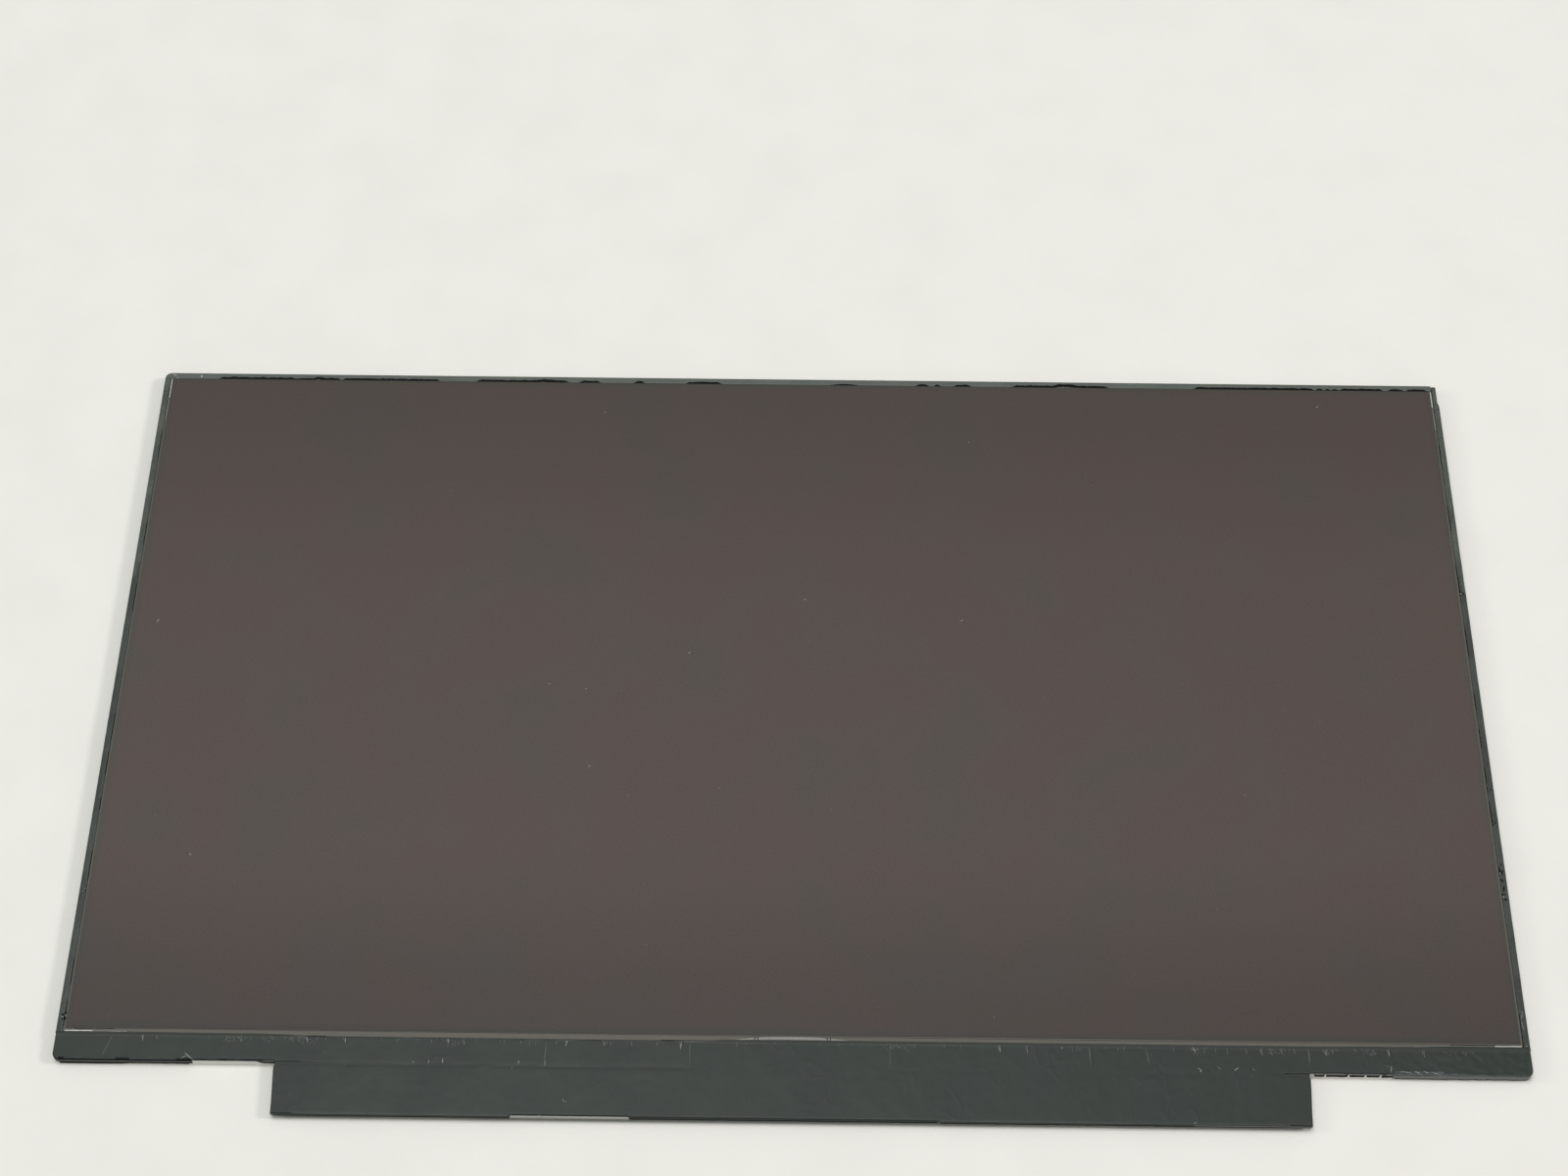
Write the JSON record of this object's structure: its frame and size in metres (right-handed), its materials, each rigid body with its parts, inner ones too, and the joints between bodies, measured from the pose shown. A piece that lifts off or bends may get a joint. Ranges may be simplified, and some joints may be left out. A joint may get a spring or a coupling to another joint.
{
  "type": "laptop screen panel",
  "caption": "flat display panel for a laptop: a matt screen in a thin taped frame, with a covered control board along its lower edge and a stamped metal back",
  "frame": {"origin": "under the middle of the outline, at the level of the rear face", "axes": "+X to the right as the screen is read, +Y up the screen, away from the control board, +Z out of the screen's face"},
  "size_m": [0.3158, 0.1982, 0.0026],
  "materials": {
    "cover_metal": "bare stamped sheet with a fine rolled grain",
    "frame_plastic": "white moulded polycarbonate, satin",
    "reflector": "white reflective film",
    "guide_acrylic": "clear acrylic",
    "diffuser": "milky film",
    "prism": "fine ribbed film",
    "amber_flex": "amber polyimide",
    "diode_resin": "white body with a yellow window",
    "black_tape": "black adhesive tape",
    "rear_polarizer": "dark film",
    "screen_face": "anti-glare polarizer, matt with a fine grain",
    "cell_glass": "cut glass, dark behind",
    "board_laminate": "dark green solder mask",
    "chip_epoxy": "black epoxy",
    "capacitor_body": "fired ceramic",
    "resistor_body": "dark film on white ceramic",
    "ferrite": "moulded ferrite",
    "socket_plastic": "cream moulded plastic",
    "shell_metal": "plated steel",
    "contact_metal": "gold-plated",
    "cover_tape": "dark grey-green film, crinkled, satin",
    "edge_tape": "dark grey-green film, satin",
    "film_polyimide": "dark amber film",
    "driver_silicon": "bare silicon",
    "foil": "conductive foil tape"
  },
  "bodies": {
    "root": {"rear_cover": "cover_metal", "mould_frame": "frame_plastic", "reflector_sheet": "reflector", "light_guide": "guide_acrylic", "lower_diffuser": "diffuser", "upper_diffuser": "diffuser", "lower_prism_sheet": "prism", "upper_prism_sheet": "prism", "led_flex": "amber_flex", "led_packages": "diode_resin", "light_bar_tape": "black_tape", "rim_tape": "black_tape", "ledge_tape": "black_tape", "rear_polarizer": "rear_polarizer", "front_polarizer": "screen_face", "array_glass": "cell_glass", "filter_glass": "cell_glass", "control_board": "board_laminate", "timing_chip": "chip_epoxy", "power_chip": "chip_epoxy", "light_driver_chip": "chip_epoxy", "memory_chip": "chip_epoxy", "led_socket_latch": "chip_epoxy", "ceramic_capacitors": "capacitor_body", "chip_resistors": "resistor_body", "power_inductor_1": "ferrite", "power_inductor_2": "ferrite", "power_inductor_3": "ferrite", "connector_housing": "socket_plastic", "led_socket": "socket_plastic", "connector_shell": "shell_metal", "connector_contacts": "contact_metal", "cover_tape": "cover_tape", "top_edge_tape": "edge_tape", "left_edge_tape": "edge_tape", "right_edge_tape": "edge_tape", "source_film_1": "film_polyimide", "source_film_2": "film_polyimide", "source_film_3": "film_polyimide", "source_film_4": "film_polyimide", "driver_chip_1": "driver_silicon", "driver_chip_2": "driver_silicon", "driver_chip_3": "driver_silicon", "driver_chip_4": "driver_silicon", "ground_foil_1": "foil", "ground_foil_2": "foil", "ground_foil_3": "foil"}
  },
  "joints": []
}
